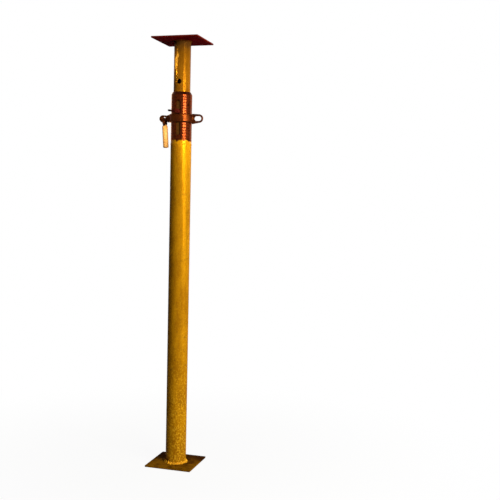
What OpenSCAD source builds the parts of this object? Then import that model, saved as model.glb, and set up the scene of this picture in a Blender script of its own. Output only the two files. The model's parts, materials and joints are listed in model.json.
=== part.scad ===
// Adjustable steel prop: two telescoping tubes between square plates. The inner tube hangs on a cross
// pin, the pin stands on a nut, and the nut climbs a threaded sleeve on top of the outer tube.
// The axis is +Z and the origin is the middle of the base plate's underside. Millimetres.

/* [Plates] */
// Side of the square base and head plates
plate_w = 140; // [120:1:180]
// Thickness of both plates
plate_t = 4; // [3:0.5:10]
// Corner radius of the sheared plates
plate_corner = 2; // [1:0.5:8]
// Hole in the middle of each plate, for a spigot
spigot_hole_d = 38; // [20:0.5:40]

/* [Outer tube] */
// Outside diameter of the outer tube and of the sleeve
outer_d = 60.3; // [59:0.1:64]
// Wall of the outer tube
outer_wall = 3.2; // [2.6:0.1:4]
// Length of the outer tube, from base plate to sleeve
outer_len = 936; // [920:1:1400]
// Leg of the fillet weld at the foot
foot_weld = 7; // [4:0.5:10]

/* [Threaded sleeve] */
// Length of the sleeve
sleeve_len = 150; // [146:1:200]
// Gap between the inner tube and the bore of the sleeve
guide_gap = 1; // [0.5:0.1:1.4]
// Height of the taper at the mouth
mouth_taper = 7.5; // [3:0.5:12]
// Wall left at the mouth, above the taper
mouth_wall = 1; // [0.6:0.1:3]
// Width of the two pin slots
slot_w = 16; // [14:0.5:19]
// Length of the slots, end to end
slot_len = 100; // [96:1:104]
// Solid sleeve between the slots and the mouth
slot_top_land = 24; // [20:1:28]
// How far the butt weld under the sleeve stands proud
sleeve_weld_crown = 0.5; // [0.3:0.1:0.8]

/* [Inner tube] */
// Outside diameter of the inner tube
inner_d = 48.3; // [47:0.1:49]
// Wall of the inner tube
inner_wall = 3.2; // [2.6:0.1:3.6]
// Length of the inner tube
inner_len = 1096; // [1000:1:1100]
// Diameter of the pin holes
pin_hole_d = 14.5; // [13.5:0.1:16]
// Distance from one pair of holes to the next
pin_hole_pitch = 86; // [60:1:90]
// Number of pairs of holes
pin_hole_count = 9; // [4:1:10]
// Distance from the top of the tube to its first pair of holes
first_hole = 117; // [80:1:160]
// Pairs of holes above the pair that holds the pin
upper_hole_count = 1; // [0:1:3]
// Leg of the fillet weld under the head plate
head_weld_leg = 5; // [3:0.5:8]

/* [Adjusting nut] */
// Outside diameter of the collar
nut_d = 72; // [70:0.5:80]
// Height of the nut
nut_h = 24; // [20:0.5:28]
// Rounding of the collar's edges
nut_round = 3; // [1:0.5:4]
// Gap between the nut and the crests of the thread
thread_gap = 0.35; // [0.2:0.05:0.6]
// Distance from the mouth of the sleeve down to the top of the nut
nut_drop = 63; // [58:1:68]

/* [Handle lug] */
// Distance from the nut's axis to the lug's hole
lug_hole_x = 52.5; // [51:0.5:60]
// Diameter of the lug's hole
lug_hole_d = 10.8; // [10.4:0.1:11.5]
// Radius of the lug's rounded end
lug_end_r = 10.4; // [9.5:0.1:11]
// Metal beyond the hole's middle, to the centre of the rounded end
lug_end_lead = 5; // [2:0.1:5]
// Half the height of the lug's arm
lug_arm_r = 9; // [7:0.1:9.4]
// Thickness of the lug at its hole
lug_t = 9; // [6:0.5:9.5]
// Thickness of the lug where it leaves the collar
lug_root_t = 16; // [10:0.5:20]
// Rounding of the lug's edges
lug_round = 2; // [1:0.25:2.5]

/* [Nut eye] */
// Half the height of the opening in the eye
eye_r = 6.7; // [5:0.1:8]
// Distance from the collar to the near end of the opening
eye_land = 3.9; // [2:0.1:8]
// Length of the opening
eye_len = 21; // [14:0.5:26]
// Diameter of the rod that rounds the end of the eye
eye_rod_d = 6; // [5:0.1:8]
// Diameter of the eye's upper leg at the collar
eye_top_root_d = 9; // [8:0.5:12]
// Diameter of the eye's lower leg at the collar
eye_low_root_d = 13.5; // [8:0.5:15]

/* [Drop handle] */
// Diameter of the handle bar
handle_d = 16; // [12:0.5:18]
// Length of the handle bar
handle_len = 67; // [50:1:120]
// Diameter across the middle of the ring's rod
ring_d = 20; // [19.8:0.1:22]
// Diameter of the ring's rod
ring_rod_d = 6; // [5:0.1:6.4]
// Angle by which the handle hangs in towards the tube
handle_lean = 3.7; // [0:0.1:6]
// Chamfer at the handle's free end
handle_chamfer = 2; // [0.5:0.25:3]
// Height of the handle's shoulder, below the ring
handle_shoulder = 6; // [4:0.5:12]

/* [Prop pin] */
// Diameter of the pin
pin_d = 12.7; // [11:0.1:13]
// Pin that stands out of the sleeve at the front
pin_front = 11; // [10:0.5:16]
// Pin that stands out of the sleeve at the back
pin_back = 8; // [4:0.5:12]
// Chamfer at the pin's back end
pin_chamfer = 1.5; // [0.5:0.1:3]
// Diameter of the tail's wire
tail_d = 5.6; // [4:0.1:6]
// Gap between the tail and the sleeve
tail_gap = 5; // [3.5:0.1:6]
// How far round the sleeve the tail reaches, in degrees
tail_sweep = 65; // [45:1:100]
// Angle at which the tail climbs
tail_tilt = 12; // [6:1:16]
// Distance from the pin's axis down to the tail's root
tail_root_drop = 3; // [0:0.1:3.4]

/* [Hidden] */
$fn = 96;

// Smoothness of the children of a hull
hull_fn = 32;
// Gap between pieces that move on each other
running_gap = 0.3;
// How far a cutter runs past the face that it opens
over = 1;

outer_r = outer_d / 2;
inner_r = inner_d / 2;
sleeve_bore_r = inner_r + guide_gap;
sleeve_wall = outer_r - sleeve_bore_r;
groove = 0.6 * min(outer_wall, sleeve_wall);

sleeve_z = plate_t + outer_len;
mouth_z = sleeve_z + sleeve_len;
slot_top_z = mouth_z - slot_top_land;
slot_low_z = slot_top_z - slot_len;

nut_top_z = mouth_z - nut_drop;
nut_z = nut_top_z - nut_h;
nut_mid_z = nut_z + nut_h / 2;
nut_r = nut_d / 2;
nut_bore_r = outer_r + thread_gap;
bore_chamfer = (nut_r - nut_bore_r) / 4;

pin_r = pin_d / 2;
pin_z = nut_top_z + running_gap + pin_r;
pinned_hole_z = pin_z - (pin_hole_d - pin_d) / 2 + running_gap;
inner_top_z = pinned_hole_z + first_hole + upper_hole_count * pin_hole_pitch;

eye_rod_r = eye_rod_d / 2;
eye_axis_r = eye_r + 0.9 * eye_rod_r;
eye_end_x = nut_r + eye_land + eye_len - eye_r;
eye_near_x = nut_r + eye_land + eye_r;

ring_r = ring_d / 2;
ring_rod_r = ring_rod_d / 2;
handle_r = handle_d / 2;
handle_top = ring_d - ring_rod_r + over / 4;

tail_r = tail_d / 2;
tail_axis_r = outer_r + tail_gap + tail_r;

// Square plate with round corners and the spigot hole, its underside at z = 0.
module plate() {
    span = plate_w / 2 - plate_corner;
    difference() {
        union() {
            translate([-plate_w / 2, -span, 0]) cube([plate_w, 2 * span, plate_t]);
            translate([-span, -plate_w / 2, 0]) cube([2 * span, plate_w, plate_t]);
            for (x = [-span, span], y = [-span, span]) {
                translate([x, y, 0]) cylinder(r = plate_corner, h = plate_t);
            }
        }
        translate([0, 0, -over]) cylinder(d = spigot_hole_d, h = plate_t + 2 * over);
    }
}

// Plain tube, standing on z = 0.
module tube(r, wall, h) {
    difference() {
        cylinder(r = r, h = h);
        translate([0, 0, -over]) cylinder(r = r - wall, h = h + 2 * over);
    }
}

// Fillet weld round a tube of radius r, with its flat leg on z = 0 and a convex face.
module fillet_bead(r, leg) {
    rotate_extrude() {
        intersection() {
            translate([r, 0]) circle(r = leg);
            translate([r, 0]) square(leg + over);
        }
    }
}

// Ring of metal that a butt weld's V groove takes out of both ends that meet at z = 0.
module groove_cut(r) {
    rotate_extrude() {
        polygon([[r - groove, 0], [r + over, groove + over], [r + over, -groove - over]]);
    }
}

module base_plate() {
    color("darkgoldenrod") plate();
}

module base_weld() {
    color("goldenrod") translate([0, 0, plate_t]) fillet_bead(outer_r, foot_weld);
}

module outer_tube() {
    color("darkgoldenrod") {
        difference() {
            translate([0, 0, plate_t]) tube(outer_r, outer_wall, outer_len);
            translate([0, 0, sleeve_z]) groove_cut(outer_r);
        }
    }
}

// Slot cutter that runs right through the sleeve along Y, with round ends.
module slot_cutter() {
    depth = outer_d + 2 * over;
    r = slot_w / 2;
    rotate([90, 0, 0]) {
        for (z = [slot_low_z + r, slot_top_z - r]) {
            translate([0, z, -depth / 2]) cylinder(r = r, h = depth);
        }
        translate([-r, slot_low_z + r, -depth / 2]) cube([slot_w, slot_len - slot_w, depth]);
    }
}

module threaded_sleeve() {
    mouth_r = sleeve_bore_r + mouth_wall;
    color("maroon") {
        difference() {
            translate([0, 0, sleeve_z]) {
                rotate_extrude() {
                    polygon([
                        [sleeve_bore_r, 0], [outer_r, 0], [outer_r, sleeve_len - mouth_taper],
                        [mouth_r, sleeve_len], [sleeve_bore_r, sleeve_len]
                    ]);
                }
            }
            slot_cutter();
            translate([0, 0, sleeve_z]) groove_cut(outer_r);
        }
    }
}

// Weld metal that fills the V groove, with a low crown.
module sleeve_weld() {
    crown = outer_r + sleeve_weld_crown;
    color("goldenrod") {
        translate([0, 0, sleeve_z]) {
            rotate_extrude() {
                polygon([
                    [outer_r - groove, 0], [outer_r, -groove], [crown, -groove / 2], [crown, groove / 2],
                    [outer_r, groove]
                ]);
            }
        }
    }
}

module inner_tube() {
    reach = inner_d + 2 * over;
    color("goldenrod") {
        difference() {
            translate([0, 0, inner_top_z - inner_len]) tube(inner_r, inner_wall, inner_len);
            for (i = [0 : pin_hole_count - 1]) {
                translate([0, reach / 2, inner_top_z - first_hole - i * pin_hole_pitch]) {
                    rotate([90, 0, 0]) cylinder(d = pin_hole_d, h = reach);
                }
            }
        }
    }
}

module head_plate() {
    color("maroon") translate([0, 0, inner_top_z]) plate();
}

module head_weld() {
    color("goldenrod") {
        translate([0, 0, inner_top_z]) mirror([0, 0, 1]) fillet_bead(inner_r, head_weld_leg);
    }
}

// Collar of the nut: a ring with round outer edges and chamfers at both ends of its bore.
module collar() {
    mid = nut_h / 2 - nut_round;
    rotate_extrude() {
        difference() {
            union() {
                translate([0, -mid]) square([nut_r, 2 * mid]);
                translate([0, -nut_h / 2]) square([nut_r - nut_round, nut_h]);
                for (z = [-mid, mid]) {
                    translate([nut_r - nut_round, z]) circle(r = nut_round);
                }
            }
            translate([0, -nut_h / 2 - over]) square([nut_bore_r, nut_h + 2 * over]);
            for (s = [-1, 1]) {
                polygon([
                    [0, s * (nut_h / 2 + over)], [nut_bore_r + bore_chamfer + over, s * (nut_h / 2 + over)],
                    [nut_bore_r, s * (nut_h / 2 - bore_chamfer)], [0, s * (nut_h / 2 - bore_chamfer)]
                ]);
            }
        }
    }
}

// Disc on the Y axis with rounded edges: radius r, thickness t, edge radius e.
module soft_disc(r, t, e) {
    for (s = [-1, 1]) {
        translate([0, s * (t / 2 - e), 0]) rotate([90, 0, 0]) {
            rotate_extrude($fn = hull_fn) translate([r - e, 0]) circle(r = e, $fn = hull_fn / 2);
        }
    }
}

// Lug on the -X side: a tall root on the collar, a waisted arm and a rounded end with the handle's hole.
module handle_lug() {
    root_x = -(nut_bore_r + nut_r) / 2;
    waist_x = -(nut_r + lug_arm_r);
    end_x = -(lug_hole_x + lug_end_lead);
    root_r = nut_h / 4;
    hull() {
        for (z = [-1, 1]) {
            translate([root_x, 0, z * (nut_h / 2 - root_r)]) soft_disc(root_r, lug_root_t, lug_round);
        }
        translate([waist_x, 0, 0]) soft_disc(lug_arm_r, lug_t, lug_round);
    }
    hull() {
        translate([waist_x, 0, 0]) soft_disc(lug_arm_r, lug_t, lug_round);
        translate([end_x, 0, 0]) soft_disc(lug_end_r, lug_t, lug_round);
    }
}

// Open eye on the +X side: two tapered legs that a half ring joins at their ends.
module nut_eye() {
    root_x = (nut_bore_r + nut_r) / 2;
    run = eye_end_x - root_x;
    translate([root_x, 0, eye_axis_r]) {
        rotate([0, 90, 0]) cylinder(d1 = eye_top_root_d, d2 = eye_rod_d, h = run);
    }
    translate([root_x, 0, -eye_axis_r]) {
        rotate([0, 90, 0]) cylinder(d1 = eye_low_root_d, d2 = eye_rod_d, h = run);
    }
    translate([root_x, -eye_rod_r, -eye_axis_r]) {
        cube([eye_near_x - root_x, eye_rod_d, 2 * eye_axis_r]);
    }
    translate([eye_end_x, 0, 0]) {
        rotate([90, 0, 0]) rotate([0, 0, -90]) {
            rotate_extrude(angle = 180) translate([eye_axis_r, 0]) circle(r = eye_rod_r);
        }
    }
}

// Cutter for the opening of the eye, along Y.
module eye_opening() {
    depth = max(eye_low_root_d, nut_h);
    rotate([90, 0, 0]) {
        for (x = [eye_near_x, eye_end_x]) {
            translate([x, 0, -depth / 2]) cylinder(r = eye_r, h = depth);
        }
        translate([eye_near_x, -eye_r, -depth / 2]) cube([eye_end_x - eye_near_x, 2 * eye_r, depth]);
    }
}

module adjusting_nut() {
    color("firebrick") {
        translate([0, 0, nut_mid_z]) {
            collar();
            difference() {
                union() {
                    handle_lug();
                    nut_eye();
                }
                translate([0, 0, -nut_h]) cylinder(r = (nut_bore_r + nut_r) / 2, h = 2 * nut_h);
                eye_opening();
                translate([-lug_hole_x, lug_root_t, 0]) {
                    rotate([90, 0, 0]) cylinder(d = lug_hole_d, h = 2 * lug_root_t);
                }
            }
        }
    }
}

// Places a handle piece that hangs along -Z from the lug's hole.
module hang() {
    translate([-lug_hole_x, 0, nut_mid_z]) rotate([0, -handle_lean, 0]) children();
}

// Ring as it hangs, with its rod through the lug's hole at the origin.
module ring_shape() {
    translate([0, 0, -ring_r]) rotate([0, 90, 0]) rotate_extrude() translate([ring_r, 0]) circle(r = ring_rod_r);
}

module handle_ring() {
    color("orangered") hang() ring_shape();
}

module handle_bar() {
    neck_r = ring_rod_r + handle_chamfer;
    color("gold") {
        hang() {
            difference() {
                translate([0, 0, -handle_top]) {
                    rotate_extrude() {
                        polygon([
                            [0, 0], [neck_r, 0], [handle_r, -handle_shoulder],
                            [handle_r, handle_chamfer - handle_len],
                            [handle_r - handle_chamfer, -handle_len], [0, -handle_len]
                        ]);
                    }
                }
                ring_shape();
            }
        }
    }
}

// Solid of the pin, with its axis on Y and its chamfered end at the back.
module pin_shape() {
    front_y = outer_r + pin_front;
    length = outer_d + pin_front + pin_back;
    translate([0, -front_y, pin_z]) rotate([-90, 0, 0]) {
        rotate_extrude() {
            polygon([
                [0, 0], [pin_r, 0], [pin_r, length - pin_chamfer], [pin_r - pin_chamfer, length], [0, length]
            ]);
        }
    }
}

module prop_pin() {
    color("maroon") pin_shape();
}

// Wire tail that leaves the side of the pin, climbs round the sleeve and ends in a round tip.
module pin_tail() {
    color("maroon") {
        difference() {
            translate([0, 0, pin_z - tail_root_drop]) rotate([0, tail_tilt, 0]) {
                rotate([0, 0, -90 - tail_sweep]) {
                    rotate_extrude(angle = tail_sweep) translate([tail_axis_r, 0]) circle(r = tail_r);
                    translate([tail_axis_r, 0, 0]) sphere(r = tail_r);
                }
            }
            translate([0, 0, pin_z]) rotate([90, 0, 0]) cylinder(r = pin_r, h = 2 * outer_d);
        }
    }
}

base_plate();
base_weld();
outer_tube();
threaded_sleeve();
sleeve_weld();
inner_tube();
head_plate();
head_weld();
adjusting_nut();
handle_ring();
handle_bar();
prop_pin();
pin_tail();
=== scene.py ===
"""Dresses the adjustable steel prop: rolled thread, weld beads, castings and finishes, and the studio.

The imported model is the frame. Every length is in metres and every piece is made in the part's own frame:
+Z up along the tubes, the nut's lug at -X, its eye at +X and the tail of the pin at -Y.
"""

import json
import logging
import math
from dataclasses import dataclass
from enum import Enum
from typing import Any, Callable, Iterable, Union

import bmesh
import bpy
from mathutils import Matrix, Quaternion, Vector, noise


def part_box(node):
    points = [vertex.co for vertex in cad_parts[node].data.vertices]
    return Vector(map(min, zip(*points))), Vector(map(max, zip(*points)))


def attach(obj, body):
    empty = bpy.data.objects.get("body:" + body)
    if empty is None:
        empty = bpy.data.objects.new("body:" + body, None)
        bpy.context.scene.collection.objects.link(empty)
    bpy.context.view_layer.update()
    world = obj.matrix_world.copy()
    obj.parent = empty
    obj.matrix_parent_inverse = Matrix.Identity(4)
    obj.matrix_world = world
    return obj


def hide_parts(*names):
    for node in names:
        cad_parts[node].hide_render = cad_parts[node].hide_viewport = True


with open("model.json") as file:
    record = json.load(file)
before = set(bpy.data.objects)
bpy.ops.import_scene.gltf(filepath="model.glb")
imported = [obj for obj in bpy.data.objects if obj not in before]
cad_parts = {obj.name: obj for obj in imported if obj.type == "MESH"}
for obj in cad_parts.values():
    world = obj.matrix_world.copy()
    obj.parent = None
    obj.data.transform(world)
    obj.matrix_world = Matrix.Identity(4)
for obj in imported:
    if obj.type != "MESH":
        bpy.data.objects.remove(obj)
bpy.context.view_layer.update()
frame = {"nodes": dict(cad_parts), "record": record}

LOG = logging.getLogger("prop")
MM = 0.001
TURN = 2 * math.pi
JOINTS = frame["record"]["behaviour"]["joints"]
COUPLINGS = frame["record"]["behaviour"]["couplings"]
PITCH = TURN * next(c["ratio"] for c in COUPLINGS if c["joint"] == "screw_travel")
THREAD_DEPTH = 0.2 * MM
BROKEN_EDGE = 0.4 * MM
SEAM = 0.001 * MM
TUBE_SIDES = 128
ROLL = 0.3  # a rolled edge's middle point lies this share of the edge in from the corner

Colour = tuple[float, float, float]


def foot(node: str) -> Vector:
    """The corner of a CAD node's box with the least X, Y and Z."""
    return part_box(node)[0]


def crown(node: str) -> Vector:
    """The corner of a CAD node's box with the greatest X, Y and Z."""
    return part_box(node)[1]


def middle(node: str) -> Vector:
    """The middle of a CAD node's box."""
    return (foot(node) + crown(node)) / 2


def paint(code: str) -> Colour:
    """Turns a display colour into the linear colour that shaders use.

    Args:
        code: Six hexadecimal digits, red first.

    Returns:
        Red, green and blue, each from 0 to 1.
    """
    display = [int(code[i : i + 2], 16) / 255 for i in (0, 2, 4)]
    return tuple(v / 12.92 if v <= 0.04045 else ((v + 0.055) / 1.055) ** 2.4 for v in display)


class Kind(Enum):
    """Kinds of named input on a shape tree."""

    LENGTH = "NodeSocketFloat"
    COUNT = "NodeSocketInt"
    MATERIAL = "NodeSocketMaterial"


class Crease(Enum):
    """The degrees past which an edge stays sharp, by the way a piece is made."""

    TURNED = 35.0
    DRAWN = 40.0
    ROLLED = 50.0
    FORMED = 60.0
    CAST = 80.0


def math_method(name: str, swapped: bool = False) -> Callable[..., "Wire"]:
    """Makes a method of a wire that adds one Math node.

    Args:
        name: The node's operation.
        swapped: Whether the other value comes first, as the reflected operators need.

    Returns:
        The method.
    """

    def method(self: "Wire", *others: "Value") -> "Wire":
        """Works out this value with the others, where there are any."""
        return self.tree.math(name, *((*others, self) if swapped else (self, *others)))

    return method


class Wire:
    """One output of a node, with arithmetic that adds Math nodes to its tree."""

    def __init__(self, tree: "Tree", socket: bpy.types.NodeSocket) -> None:
        """Wraps an output socket of a tree."""
        self.tree = tree
        self.socket = socket

    __add__ = math_method("ADD")
    __radd__ = math_method("ADD", swapped=True)
    __sub__ = math_method("SUBTRACT")
    __rsub__ = math_method("SUBTRACT", swapped=True)
    __mul__ = math_method("MULTIPLY")
    __rmul__ = math_method("MULTIPLY", swapped=True)
    __truediv__ = math_method("DIVIDE")
    __rtruediv__ = math_method("DIVIDE", swapped=True)
    __mod__ = math_method("FLOORED_MODULO")
    __pow__ = math_method("POWER")
    __gt__ = math_method("GREATER_THAN")
    __lt__ = math_method("LESS_THAN")
    __abs__ = math_method("ABSOLUTE")
    sine = math_method("SINE")
    cosine = math_method("COSINE")
    least = math_method("MINIMUM")
    most = math_method("MAXIMUM")

    def step(self, low: "Value", high: "Value") -> "Wire":
        """Goes smoothly from 0 where this value is low to 1 where it is high."""
        sockets = {"Value": self, "From Min": low, "From Max": high}
        return self.tree.out("Result", "ShaderNodeMapRange", sockets, interpolation_type="SMOOTHSTEP")


Value = Union[Wire, float, int, tuple]
Sockets = Union[dict[Any, Value], None]
Blank = Union[bpy.types.Mesh, None]


class Tree:
    """A node tree in the making."""

    def __init__(self, nodes: bpy.types.NodeTree) -> None:
        """Starts on a tree of Blender's."""
        self.inner = nodes

    def node(self, kind: str, sockets: Sockets = None, **settings: Any) -> bpy.types.Node:
        """Makes a node, the one way in which any node is made.

        Args:
            kind: Blender's name for the type of node.
            sockets: A value or a wire for each input, by name or by number.
            settings: The node's own choices, which are set first.

        Returns:
            The node.
        """
        made = self.inner.nodes.new(kind)
        for key, value in settings.items():
            setattr(made, key, value)
        for key, value in (sockets or {}).items():
            entry = made.inputs[key] if isinstance(key, int) else self._enabled(made.inputs, key)
            if isinstance(value, Wire):
                self.inner.links.new(value.socket, entry)
            elif entry.type == "RGBA" and len(value) == 3:
                entry.default_value = (*value, 1.0)
            else:
                entry.default_value = value
        return made

    @staticmethod
    def _enabled(sockets: Iterable[bpy.types.NodeSocket], name: str) -> bpy.types.NodeSocket:
        """The socket of that name that the node's settings leave in use."""
        return next(s for s in sockets if s.name == name and s.enabled)

    def wire(self, made: bpy.types.Node, name: str) -> Wire:
        """The output of a node by its name."""
        return Wire(self, self._enabled(made.outputs, name))

    def out(self, name: str, kind: str, sockets: Sockets = None, **settings: Any) -> Wire:
        """Makes a node and gives its output of that name."""
        return self.wire(self.node(kind, sockets, **settings), name)

    def math(self, operation: str, *values: Value) -> Wire:
        """Adds one Math node."""
        return self.out("Value", "ShaderNodeMath", dict(enumerate(values)), operation=operation)

    def split(self, vector: Wire) -> tuple[Wire, ...]:
        """The X, Y and Z of a vector."""
        made = self.node("ShaderNodeSeparateXYZ", {"Vector": vector})
        return tuple(self.wire(made, axis) for axis in "XYZ")

    def join(self, x: Value, y: Value, z: Value) -> Wire:
        """A vector of three values."""
        return self.out("Vector", "ShaderNodeCombineXYZ", {"X": x, "Y": y, "Z": z})

    def scaled(self, vector: Wire, factors: tuple[float, float, float]) -> Wire:
        """A vector times a factor along each axis."""
        return self.out("Vector", "ShaderNodeVectorMath", {0: vector, 1: factors}, operation="MULTIPLY")

    def own_place(self) -> Wire:
        """The place on the piece itself, in metres."""
        return self.out("Object", "ShaderNodeTexCoord")

    def off_axis(self, at: Wire) -> Wire:
        """The distance of a place from the prop's axis."""
        x, y, _ = self.split(at)
        return (x * x + y * y) ** 0.5

    def lay(self, factor: Value, under: Value, over: Value) -> Wire:
        """Lays one colour over another, which shows as much as the factor says."""
        sockets = {"Factor": factor, "A": under, "B": over}
        return self.out("Result", "ShaderNodeMix", sockets, data_type="RGBA")


def shader_tree(owner: Union[bpy.types.Material, bpy.types.World]) -> Tree:
    """The emptied node tree of a material or a world.

    Args:
        owner: The material or the world.

    Returns:
        Its tree, with no node in it.
    """
    owner.use_nodes = True
    owner.node_tree.nodes.clear()
    return Tree(owner.node_tree)


@dataclass(frozen=True)
class Grain:
    """A soft noise: the size of its blotches, the number of its finer layers and how strong they are."""

    size: float
    detail: float
    rough: float = 0.6

    def on(self, tree: Tree, at: Wire) -> Wire:
        """The noise at a place, around 0.5 and mostly from 0.3 to 0.7."""
        sockets = {"Vector": at, "Scale": 1 / self.size, "Detail": self.detail, "Roughness": self.rough}
        return tree.out("Fac", "ShaderNodeTexNoise", sockets)

    def swing(self, tree: Tree, at: Wire, reach: Value) -> Wire:
        """The noise as a swing to both sides of 0."""
        return (self.on(tree, at) - 0.5) * reach


@dataclass(frozen=True)
class Band:
    """Where along a value something fades in, and how much of it shows past that."""

    low: float
    high: float
    share: float = 1.0

    def of(self, value: Wire) -> Wire:
        """How much shows at that value."""
        return value.step(self.low, self.high) * self.share


@dataclass(frozen=True)
class Edge:
    """A ragged edge across a surface: where it fades in, how far it wanders, and the grain of its rags."""

    low: float
    high: float
    wander: float
    rags: Grain

    def past(self, tree: Tree, at: Wire, along: Wire) -> Wire:
        """0 before the edge and 1 past it.

        Args:
            tree: The tree of the finish.
            at: The place on the piece.
            along: The place along the axis that the edge lies across.

        Returns:
            How far past the edge the place is.
        """
        return (along + self.rags.swing(tree, at, self.wander)).step(self.low, self.high)


# ---------------------------------------------------------------------------------------------- finishes


@dataclass(frozen=True)
class Gloss:
    """What is the same all over a finish: its clear shine, which most have none of."""

    index: float = 1.5
    level: float = 0.0
    tint: Colour = (1.0, 1.0, 1.0)


@dataclass(frozen=True, kw_only=True)
class Finish:
    """One procedural finish. The fields are what a painter or plater would name."""

    name: str
    base: Colour
    deep: Colour
    light: Colour
    rough: float
    metal: float
    relief: float
    slot: str = ""
    gloss: Gloss = Gloss()

    PATCHES = Grain(9 * MM, 5)
    PATCH_SWING = 0.2
    BARENESS = Grain(4 * MM, 3, 0.5)
    BARE = Band(0.45, 0.75)
    SKIN = Grain(5 * MM, 6)

    def material(self) -> bpy.types.Material:
        """Builds the material.

        Returns:
            A material with colour, roughness, metal and relief that vary over the surface.
        """
        made = bpy.data.materials.new(self.name)
        tree = shader_tree(made)
        at = tree.own_place()
        relief = {"Height": self.height(tree, at), "Distance": self.relief, "Strength": 1.0}
        sockets = {
            "Base Color": self.colour(tree, at),
            "Roughness": self.roughness(tree, at),
            "Metallic": self.metallic(tree, at),
            "Normal": tree.out("Normal", "ShaderNodeBump", relief),
            "IOR": self.gloss.index,
            "Specular IOR Level": self.gloss.level,
            "Specular Tint": self.gloss.tint,
        }
        surface = tree.out("BSDF", "ShaderNodeBsdfPrincipled", sockets)
        tree.node("ShaderNodeOutputMaterial", {"Surface": surface})
        return made

    def colour(self, tree: Tree, at: Wire) -> Wire:
        """The colour over the surface, which each kind of finish lays in its own way."""
        raise NotImplementedError(self.name)

    def roughness(self, tree: Tree, at: Wire) -> Wire:
        """The roughness over the surface."""
        return self.rough + self.PATCHES.swing(tree, at, self.PATCH_SWING)

    def metallic(self, tree: Tree, at: Wire) -> Wire:
        """How much bare metal shows through."""
        return self.BARE.of(self.BARENESS.on(tree, at)) * self.metal + self.metal / 2

    def height(self, tree: Tree, at: Wire) -> Wire:
        """The relief, from 0 to 1."""
        return self.SKIN.on(tree, at)


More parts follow.
